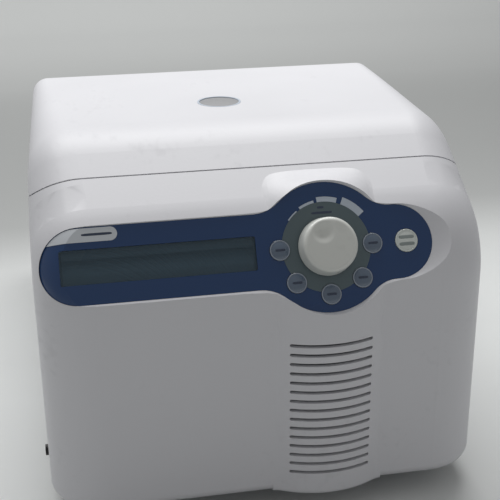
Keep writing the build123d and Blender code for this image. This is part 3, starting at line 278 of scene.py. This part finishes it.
def mouldedPlastic(name, colour, rough, grain=1.0, depth=0.00002, vary=0.96, **plain):
    kind = kinds["moulded"]
    material, tree, shader, place = startMaterial(name, **plain)
    skin = addGroup(tree, grainGroup, place, Grain_Size=grain)
    scuffs = addGroup(tree, scuffGroup, place)
    tone = mixColours(tree, skin.outputs["Cloud"], scaled(colour, vary), colour, None)
    worn = scaled(colour, vary * kind["wornTone"])
    mixColours(tree, scuffs.outputs["Mask"], tone, worn, shader.inputs["Base Color"])
    gloss = mapValue(tree, skin.outputs["Cloud"], *swing(rough, kind), None)
    dulled = addMath(tree, "MULTIPLY_ADD", scuffs.outputs["Mask"], kind["wornRough"])
    tree.links.new(gloss, dulled.node.inputs[2])
    tree.links.new(dulled, shader.inputs["Roughness"])
    addBump(tree, skin.outputs["Height"], shader, depth)
    return material


def drawnMetal(name, colour, rough, stretch=linesAlongX, depth=0.00001, vary=0.9, **plain):
    kind = kinds["drawn"]
    material, tree, shader, place = startMaterial(name, Metallic=1.0, **plain)
    lines = addGroup(tree, brushGroup, place, Stretch=stretch)
    mixColours(tree, lines.outputs["Cloud"], scaled(colour, vary), colour, shader.inputs["Base Color"])
    mapValue(tree, lines.outputs["Height"], *swing(rough, kind), shader.inputs["Roughness"])
    addBump(tree, lines.outputs["Height"], shader, depth)
    return material


def coatedSheet(name, colour, rough):
    # zinc-coated sheet: broad crystals of slightly different grey
    kind = kinds["sheet"]
    material, tree, shader, place = startMaterial(name, Metallic=kind["metal"])
    cells = addTexture(tree, "ShaderNodeTexVoronoi", place, {"Scale": kind["cells"]})
    grey = tree.nodes.new("ShaderNodeSeparateColor")
    tree.links.new(cells.outputs["Color"], grey.inputs["Color"])
    mixColours(tree, grey.outputs["Red"], scaled(colour, kind["dark"]), colour, shader.inputs["Base Color"])
    mapValue(tree, grey.outputs["Green"], *swing(rough, kind), shader.inputs["Roughness"], 0, 1)
    skin = addGroup(tree, grainGroup, place, Grain_Size=kind["grain"])
    addBump(tree, skin.outputs["Height"], shader, kind["bump"])
    return material


def castRubber(name, colour):
    kind = kinds["rubber"]
    material, tree, shader, place = startMaterial(name, Specular_IOR_Level=kind["shine"])
    skin = addGroup(tree, grainGroup, place, Grain_Size=kind["grain"])
    tones = (scaled(colour, kind["dark"]), scaled(colour, kind["light"]))
    mixColours(tree, skin.outputs["Cloud"], *tones, shader.inputs["Base Color"])
    mapValue(tree, skin.outputs["Cloud"], *kind["rough"], shader.inputs["Roughness"])
    addBump(tree, skin.outputs["Height"], shader, kind["bump"])
    return material


def rigidFoam(name, colour):
    # cut foam: small open cells and a warm, blotchy tone
    kind = kinds["foam"]
    material, tree, shader, place = startMaterial(name, Roughness=kind["rough"])
    cells = addTexture(tree, "ShaderNodeTexVoronoi", place, {"Scale": kind["cells"]})
    skin = addGroup(tree, grainGroup, place)
    tone = mixColours(tree, skin.outputs["Cloud"], scaled(colour, kind["dark"]), colour, None)
    deep = mapValue(tree, cells.outputs["Distance"], 0, 1, None, 0, kind["poreReach"])
    mixColours(tree, deep, tone, scaled(colour, kind["pore"]), shader.inputs["Base Color"])
    addBump(tree, cells.outputs["Distance"], shader, kind["bump"])
    return material


def circuitBoard(name, mask):
    # solder mask, with a brick pattern for the copper runs under it
    kind = kinds["board"]
    material, tree, shader, place = startMaterial(name, Specular_IOR_Level=kind["shine"])
    runs = addTexture(tree, "ShaderNodeTexBrick", place, boardRuns)
    cloud = addGroup(tree, grainGroup, place)
    tone = mixColours(tree, runs.outputs["Fac"], mask, scaled(mask, kind["light"]), None)
    mixColours(tree, cloud.outputs["Cloud"], tone, scaled(mask, kind["dark"]), shader.inputs["Base Color"])
    mapValue(tree, cloud.outputs["Cloud"], *kind["rough"], shader.inputs["Roughness"])
    addBump(tree, runs.outputs["Fac"], shader, kind["bump"])
    return material


def printedFilm(name, colour, rough, vary=0.94, **plain):
    # film printed on its back: flat tone, faint orange peel in the gloss
    kind = kinds["film"]
    material, tree, shader, place = startMaterial(name, **plain)
    peel = addGroup(tree, grainGroup, place, Grain_Size=kind["grain"])
    mixColours(tree, peel.outputs["Cloud"], scaled(colour, vary), colour, shader.inputs["Base Color"])
    mapValue(tree, peel.outputs["Cloud"], *swing(rough, kind), shader.inputs["Roughness"])
    addBump(tree, peel.outputs["Height"], shader, kind["bump"])
    return material


def liquidCrystal(name, dark, cell):
    # a display at rest: rows of character cells a shade off the ground they stand on
    material, tree, shader, place = startMaterial(name)
    tones = {"Color1": cell, "Color2": cell, "Mortar": dark}
    cells = addTexture(tree, "ShaderNodeTexBrick", place, characterCells | tones)
    cells.offset = 0.0
    cloud = addGroup(tree, grainGroup, place)
    mixColours(tree, cloud.outputs["Cloud"], cells.outputs["Color"], dark, shader.inputs["Base Color"])
    mapValue(tree, cloud.outputs["Cloud"], *kinds["crystal"]["rough"], shader.inputs["Roughness"])
    return material


def clearCover(name, tint, rough, cover):
    # clear plastic: mostly see-through, with its own gloss
    kind = kinds["cover"]
    coat = {"Coat_Weight": kind["coat"], "Coat_Roughness": kind["coatRough"]}
    material, tree, shader, place = startMaterial(name, Alpha=cover, **coat)
    skin = addGroup(tree, grainGroup, place, Grain_Size=kind["grain"])
    mixColours(tree, skin.outputs["Cloud"], scaled(tint, kind["dark"]), tint, shader.inputs["Base Color"])
    mapValue(tree, skin.outputs["Cloud"], *swing(rough, kind), shader.inputs["Roughness"])
    return material


finishes = {
    "case_white": mouldedPlastic(
        "caseWhite", screenColour(226, 226, 230), 0.48, Coat_Weight=0.06, Coat_Roughness=0.25),
    "overlay_blue": printedFilm(
        "overlayBlue", screenColour(20, 60, 108), 0.24, Coat_Weight=0.25, Coat_Roughness=0.12),
    "print_grey": printedFilm("printGrey", screenColour(92, 107, 112), 0.35),
    "print_pale": printedFilm("printPale", screenColour(196, 206, 218), 0.35),
    "tag_silver": printedFilm("tagSilver", screenColour(214, 219, 224), 0.3, Metallic=0.1),
    "display_glass": clearCover("displayGlass", screenColour(46, 64, 76), 0.08, 0.35),
    "display_dark": liquidCrystal("displayDark", screenColour(96, 126, 144), screenColour(98, 128, 146)),
    "key_clear": mouldedPlastic(
        "keyClear", screenColour(90, 106, 126), 0.16, Coat_Weight=1.0, Coat_Roughness=0.04),
    "start_grey": mouldedPlastic(
        "startGrey", screenColour(220, 226, 221), 0.2, Coat_Weight=1.0, Coat_Roughness=0.05),
    "knob_grey": mouldedPlastic(
        "knobGrey", screenColour(226, 228, 223), 0.36, Coat_Weight=0.2, Coat_Roughness=0.2),
    "board_green": circuitBoard("boardGreen", screenColour(22, 88, 56)),
    "black_plastic": mouldedPlastic("blackPlastic", screenColour(34, 34, 36), 0.45),
    "window_clear": clearCover("windowClear", screenColour(206, 206, 208), 0.12, 0.72),
    "steel": drawnMetal("steel", screenColour(176, 178, 182), 0.32),
    "stainless": drawnMetal("stainless", screenColour(200, 201, 204), 0.22, linesAlongZ),
    "zinc_plate": coatedSheet("zincPlate", screenColour(186, 189, 194), 0.4),
    "black_metal": mouldedPlastic("blackMetal", screenColour(30, 30, 32), 0.38, Metallic=0.3),
    "rotor_metal": drawnMetal("rotorMetal", screenColour(134, 138, 144), 0.36, (40, 40, 40)),
    "aluminium": drawnMetal("aluminium", screenColour(206, 208, 212), 0.3),
    "copper": drawnMetal("copper", screenColour(190, 122, 88), 0.3, linesAlongZ),
    "rubber_black": castRubber("rubberBlack", screenColour(38, 38, 38)),
    "rubber_grey": castRubber("rubberGrey", screenColour(110, 112, 114)),
    "foam": rigidFoam("foam", screenColour(222, 208, 164)),
}
for row in frame["record"]["subparts"]:
    node = frame["nodes"][row["node"]]
    node.material_slots[0].material = finishes[row["material_slot"]]
print("finishes:", len(finishes))

# Small pieces, as closed skins over rows of points
prints = {
    "printDark": printedFilm("printDark", screenColour(60, 70, 90), 0.4),
    "printSlate": printedFilm("printSlate", screenColour(150, 159, 157), 0.4),
    "keyRim": mouldedPlastic(
        "keyRim", screenColour(150, 160, 174), 0.14, Coat_Weight=1.0, Coat_Roughness=0.04),
}
# points along a ring and round its bead; rows and points round a bar, and the power that squares
# its outline
pieceFacts = {"ring": 64, "bead": 12, "barRows": 9, "barTurn": 40, "barPower": 0.45}
dialJoint = next(j for j in frame["joints"] if j["name"] == "knob_turn")
panelOut = Vector(dialJoint["axis"])
panelUp = panelOut.cross(Vector((1, 0, 0)))


def onPanel(right, up, out):
    # millimetres across, up and out of the panel's plane, as places in the model's frame
    flat = np.stack(np.broadcast_arrays(right, up, out), -1) / 1000
    return np.array(dialJoint["pos_m"]) + flat @ np.array([(1, 0, 0), panelUp, panelOut])


def skinPiece(name, rings, finish, body, looped=False):
    # rings[i, j] is point j of closed ring i. The last ring meets the first one if looped, and
    # otherwise both end rings are closed with a fan round their middle.
    rows, columns = rings.shape[:2]
    first = np.arange(columns)
    after = (first + 1) % columns
    faces = []
    for row in range(rows if looped else rows - 1):
        low, high = row * columns, (row + 1) % rows * columns
        faces += np.stack([low + first, low + after, high + after, high + first], -1).tolist()
    points = rings.reshape(-1, 3)
    if not looped:
        points = np.concatenate([points, rings[[0, -1]].mean(1)])
        last, pole = (rows - 1) * columns, rows * columns
        faces += [[pole, b, a] for a, b in zip(first.tolist(), after.tolist())]
        faces += [[pole + 1, last + a, last + b] for a, b in zip(first.tolist(), after.tolist())]
    mesh = bpy.data.meshes.new(name)
    mesh.from_pydata(points.tolist(), [], faces)
    mesh.shade_smooth()
    mesh.materials.append(finish)
    piece = bpy.data.objects.new(name, mesh)
    bpy.context.scene.collection.objects.link(piece)
    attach(piece, body)
    return piece


def ringPiece(name, centre, height, radius, bead, finish, body):
    # a round bead of the given radius, bent into a circle about centre
    turn = np.linspace(0, 2 * math.pi, pieceFacts["ring"], endpoint=False)[None, :]
    around = np.linspace(0, 2 * math.pi, pieceFacts["bead"], endpoint=False)[:, None]
    far = radius + bead * np.cos(around)
    right = centre[0] + far * np.cos(turn)
    up = centre[1] + far * np.sin(turn)
    return skinPiece(name, onPanel(right, up, height - bead * np.sin(around)), finish, body, looped=True)


def barPiece(name, centre, half, floor, finish, body):
    # a printed bar: a ball flattened to half its length, width and thickness, its outline squared
    # off by a power below one, and laid on the height that floor gives at each point
    down = np.linspace(0, math.pi, pieceFacts["barRows"])[1:-1, None]
    turn = np.linspace(0, 2 * math.pi, pieceFacts["barTurn"], endpoint=False)[None, :]

    def squared(value):
        return np.sign(value) * np.abs(value) ** pieceFacts["barPower"]

    right = centre[0] + half[0] * squared(np.cos(turn)) * np.sin(down)
    up = centre[1] + half[1] * squared(np.sin(turn)) * np.sin(down)
    return skinPiece(name, onPanel(right, up, floor(right, up) + half[2] * np.cos(down))[::-1], finish, body)


# millimetres on the panel's plane, with the dial's middle at 0, 0; a bar is its half length, half
# width and half thickness, and its lines lie above and below the key's middle
printTop = 0.3
ringKeyFacts = {
    "circle": 33.8, "radius": 7.2, "dome": 2.2, "rim": 6.75, "bead": 0.5, "bar": (3.5, 0.95, 0.12),
    "lines": {"_bar": 0},
}
startKeyFacts = {
    "right": 59.1, "radius": 8.3, "dome": 1.2, "rim": 7.7, "bead": 0.6, "bar": (5.6, 1.3, 0.12),
    "lines": {"_bar_low": -2.5, "_bar_high": 2.5},
}
ringKeys = {"key_left": 180, "key_lower_left": 225, "key_bottom": 270, "key_lower_right": 315, "key_right": 0}


def domeOf(centre, facts):
    # height of a key's crown: part of a ball that meets the key's edge at the print's top
    ball = (facts["radius"] ** 2 + facts["dome"] ** 2) / (2 * facts["dome"])

    def height(right, up):
        far = (right - centre[0]) ** 2 + (up - centre[1]) ** 2
        return printTop + facts["dome"] - ball + np.sqrt(ball ** 2 - far)

    return height


def dressKey(keyName, centre, facts, rimFinish, barFinish):
    # a raised rim and plain bars on a key's crown
    crown = domeOf(centre, facts)
    rimHigh = float(crown(centre[0] + facts["rim"], centre[1]))
    ringPiece(keyName + "_rim", centre, rimHigh, facts["rim"], facts["bead"], rimFinish, keyName)
    for suffix, shift in facts["lines"].items():
        barPiece(keyName + suffix, (centre[0], centre[1] + shift), facts["bar"], crown, barFinish, keyName)


for keyName, angle in ringKeys.items():
    turned = math.radians(angle)
    centre = (ringKeyFacts["circle"] * math.cos(turned), ringKeyFacts["circle"] * math.sin(turned))
    dressKey(keyName, centre, ringKeyFacts, prints["keyRim"], prints["printDark"])
centre = (startKeyFacts["right"], 0)
dressKey("start_key", centre, startKeyFacts, finishes["start_grey"], prints["printSlate"])


def flatPrint(right, up):
    return np.full(np.broadcast(right, up).shape, printTop)


barFacts = {
    "dial_mark_short": {"middle": (-1.6, 28.4), "half": (2.4, 0.8, 0.08)},
    "dial_mark_long": {"middle": (-1.0, 24.6), "half": (7.5, 0.85, 0.08)},
    "tag_bar": {"middle": (-160, 21.4), "half": (10.5, 0.9, 0.08)},
}
for barName, facts in barFacts.items():
    barPiece(barName, facts["middle"], facts["half"], flatPrint, prints["printDark"], "case")

# radii and heights of the knob in millimetres: "foot" is the break of its lower edge, "lift" and
# "ease" start the side just above and inside that edge, and "innermost" is the share of the face's
# radius where its rows end. The last line counts rows, and points round each row.
knobFacts = {
    "hub": 4, "low": 1.35, "base": 20.8, "foot": 0.5, "lift": 0.9, "ease": 0.02,
    "side": 19.7, "shoulder": 11.8, "face": 16.2, "high": 15.5, "crown": 0.3,
    "dimple": (-4.8, 9.0), "dimpleRadius": 8.6, "dimpleDepth": 3.3, "innermost": 0.02,
    "sideRows": 5, "arcRows": 12, "faceRows": 34, "turn": 96,
}


def makeKnob(facts):
    # a turned outline: base, side, quarter-round shoulder and a face that rises a little to its
    # middle, less a dimple whose depth falls off as (1 - share of its radius squared) squared
    arc = np.linspace(0, math.pi / 2, facts["arcRows"])[1:]
    inward = np.linspace(1, facts["innermost"], facts["faceRows"])[1:]
    radii = np.concatenate([
        [facts["hub"], facts["base"] - facts["foot"], facts["base"]],
        np.linspace(facts["base"] - facts["ease"], facts["side"], facts["sideRows"]),
        facts["face"] + (facts["side"] - facts["face"]) * np.cos(arc),
        facts["face"] * inward,
    ])
    heights = np.concatenate([
        [facts["low"], facts["low"], facts["low"] + facts["foot"]],
        np.linspace(facts["low"] + facts["lift"], facts["shoulder"], facts["sideRows"]),
        facts["shoulder"] + (facts["high"] - facts["shoulder"]) * np.sin(arc),
        facts["high"] + facts["crown"] * (1 - inward ** 2),
    ])
    turn = np.linspace(0, 2 * math.pi, facts["turn"], endpoint=False)[None, :]
    right = radii[:, None] * np.cos(turn)
    up = radii[:, None] * np.sin(turn)
    far = np.hypot(right - facts["dimple"][0], up - facts["dimple"][1]) / facts["dimpleRadius"]
    top = heights[:, None] > facts["shoulder"]
    sunk = np.where(top, facts["dimpleDepth"] * (1 - np.clip(far, 0, 1) ** 2) ** 2, 0)
    rings = onPanel(right, up, heights[:, None] - sunk)
    knob = skinPiece("turning_knob", rings, finishes["knob_grey"], "dial")
    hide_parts("control_knob")


makeKnob(knobFacts)
print("panel pieces made")

# Floor, light and camera
# "shade" gives the paper's tone as shares along Y, from shadeFrom to shadeTo, as the room's light
# falls off behind the instrument; "bounce" is its share for rays that don't come from the camera
sweepFacts = {
    "half": 4.0, "front": -3.0, "back": 1.75, "bend": 0.7, "top": 4.0, "steps": 24,
    "paper": (228, 230, 229), "shine": 0.1, "rough": 0.9, "cloudLow": 0.97, "cloudTone": 0.98,
    "bounce": 0.62, "shadeFrom": -0.05, "shadeTo": 2.25,
    "shade": [(0.001, 1), (0.03, 0.95), (0.13, 0.78), (0.2, 0.4),
              (0.4, 0.4), (0.55, 0.45), (0.8, 0.9), (0.999, 0.97)],
}
lampFacts = {"place": (-0.1, 0.88, 1.85), "aim": (-0.05, 0, 0.1), "size": (2.2, 1.1), "power": 42}
roomLight = 0.32
viewFacts = {
    "place": (-0.13855, -0.91129, 0.48544), "down": 22.035, "right": 10.597, "roll": -0.578,
    "lens": 74.88, "sensor": 36, "near": 0.01, "far": 50,
}


def makeSweep(facts):
    # floor that bends up into a wall: straight runs joined by a quarter circle, carried across
    turn = np.linspace(0, math.pi / 2, facts["steps"])
    wall = facts["back"] + facts["bend"]
    y = np.concatenate([[facts["front"]], facts["back"] + facts["bend"] * np.sin(turn), [wall]])
    z = np.concatenate([[0], facts["bend"] * (1 - np.cos(turn)), [facts["top"]]])
    x = np.array([-facts["half"], facts["half"]])
    points = np.stack(np.broadcast_arrays(x[:, None], y[None, :], z[None, :]), -1).reshape(-1, 3)
    count = len(y)
    first = np.arange(count - 1)
    faces = np.stack([first, first + count, first + count + 1, first + 1], -1)
    mesh = bpy.data.meshes.new("sweep")
    mesh.from_pydata(points.tolist(), [], faces.tolist())
    mesh.shade_smooth()
    sweep = bpy.data.objects.new("sweep", mesh)
    bpy.context.scene.collection.objects.link(sweep)
    material, tree, shader, place = startMaterial(
        "sweepPaper", Specular_IOR_Level=facts["shine"], Roughness=facts["rough"])
    cloud = addNoise(tree, place, "paperCloud")
    paper = screenColour(*facts["paper"])
    depth = tree.nodes.new("ShaderNodeSeparateXYZ")
    tree.links.new(place, depth.inputs["Vector"])
    shade = tree.nodes.new("ShaderNodeValToRGB")
    shade.color_ramp.interpolation = "B_SPLINE"
    for stop, share in facts["shade"]:
        element = shade.color_ramp.elements.new(stop)
        element.color = scaled(paper, share)
    for end in (0, -1):
        shade.color_ramp.elements.remove(shade.color_ramp.elements[end])
    mapValue(tree, depth.outputs["Y"], 0, 1, shade.inputs["Fac"], facts["shadeFrom"], facts["shadeTo"])
    clouds = mapValue(tree, cloud.outputs["Fac"], facts["cloudLow"], 1, None)
    tone = mixColours(tree, clouds, scaled(paper, facts["cloudTone"]), shade.outputs["Color"], None)
    rays = tree.nodes.new("ShaderNodeLightPath")
    seen = addMath(tree, "MAXIMUM", rays.outputs["Is Camera Ray"], rays.outputs["Is Glossy Ray"])
    seen = addMath(tree, "MAXIMUM", seen, rays.outputs["Is Transmission Ray"])
    mixColours(tree, seen, scaled(paper, facts["bounce"]), tone, shader.inputs["Base Color"])
    mesh.materials.append(material)


def makeLamp(facts):
    lamp = bpy.data.lights.new("overhead", "AREA")
    lamp.shape = "RECTANGLE"
    lamp.size, lamp.size_y = facts["size"]
    lamp.energy = facts["power"]
    holder = bpy.data.objects.new("overhead", lamp)
    holder.location = facts["place"]
    ahead = Vector(facts["aim"]) - Vector(facts["place"])
    holder.rotation_euler = ahead.to_track_quat("-Z", "Y").to_euler()
    bpy.context.scene.collection.objects.link(holder)


def makeWorld(strength):
    world = bpy.data.worlds.new("room")
    world.use_nodes = True
    world.node_tree.nodes["Background"].inputs["Strength"].default_value = strength
    world.node_tree.nodes["Background"].inputs["Color"].default_value = (1, 1, 1, 1)
    bpy.context.scene.world = world


def makeCamera(facts):
    down, right, roll = (math.radians(facts[k]) for k in ("down", "right", "roll"))
    ahead = Vector((math.sin(right) * math.cos(down), math.cos(right) * math.cos(down), -math.sin(down)))
    across = Vector((math.cos(right), -math.sin(right), 0))
    upright = across.cross(ahead)
    xAxis = math.cos(roll) * across + math.sin(roll) * upright
    yAxis = math.cos(roll) * upright - math.sin(roll) * across
    turned = Matrix((xAxis, yAxis, -ahead)).transposed().to_4x4()
    data = bpy.data.cameras.new("photoCamera")
    data.lens = facts["lens"]
    data.sensor_width = facts["sensor"]
    data.sensor_fit = "HORIZONTAL"
    data.clip_start = facts["near"]
    data.clip_end = facts["far"]
    camera = bpy.data.objects.new("photoCamera", data)
    camera.matrix_world = Matrix.Translation(facts["place"]) @ turned
    bpy.context.scene.collection.objects.link(camera)
    bpy.context.scene.camera = camera


makeSweep(sweepFacts)
makeWorld(roomLight)
makeLamp(lampFacts)
makeCamera(viewFacts)
bpy.context.scene.view_settings.view_transform = "Standard"
print("stage, light and camera set")
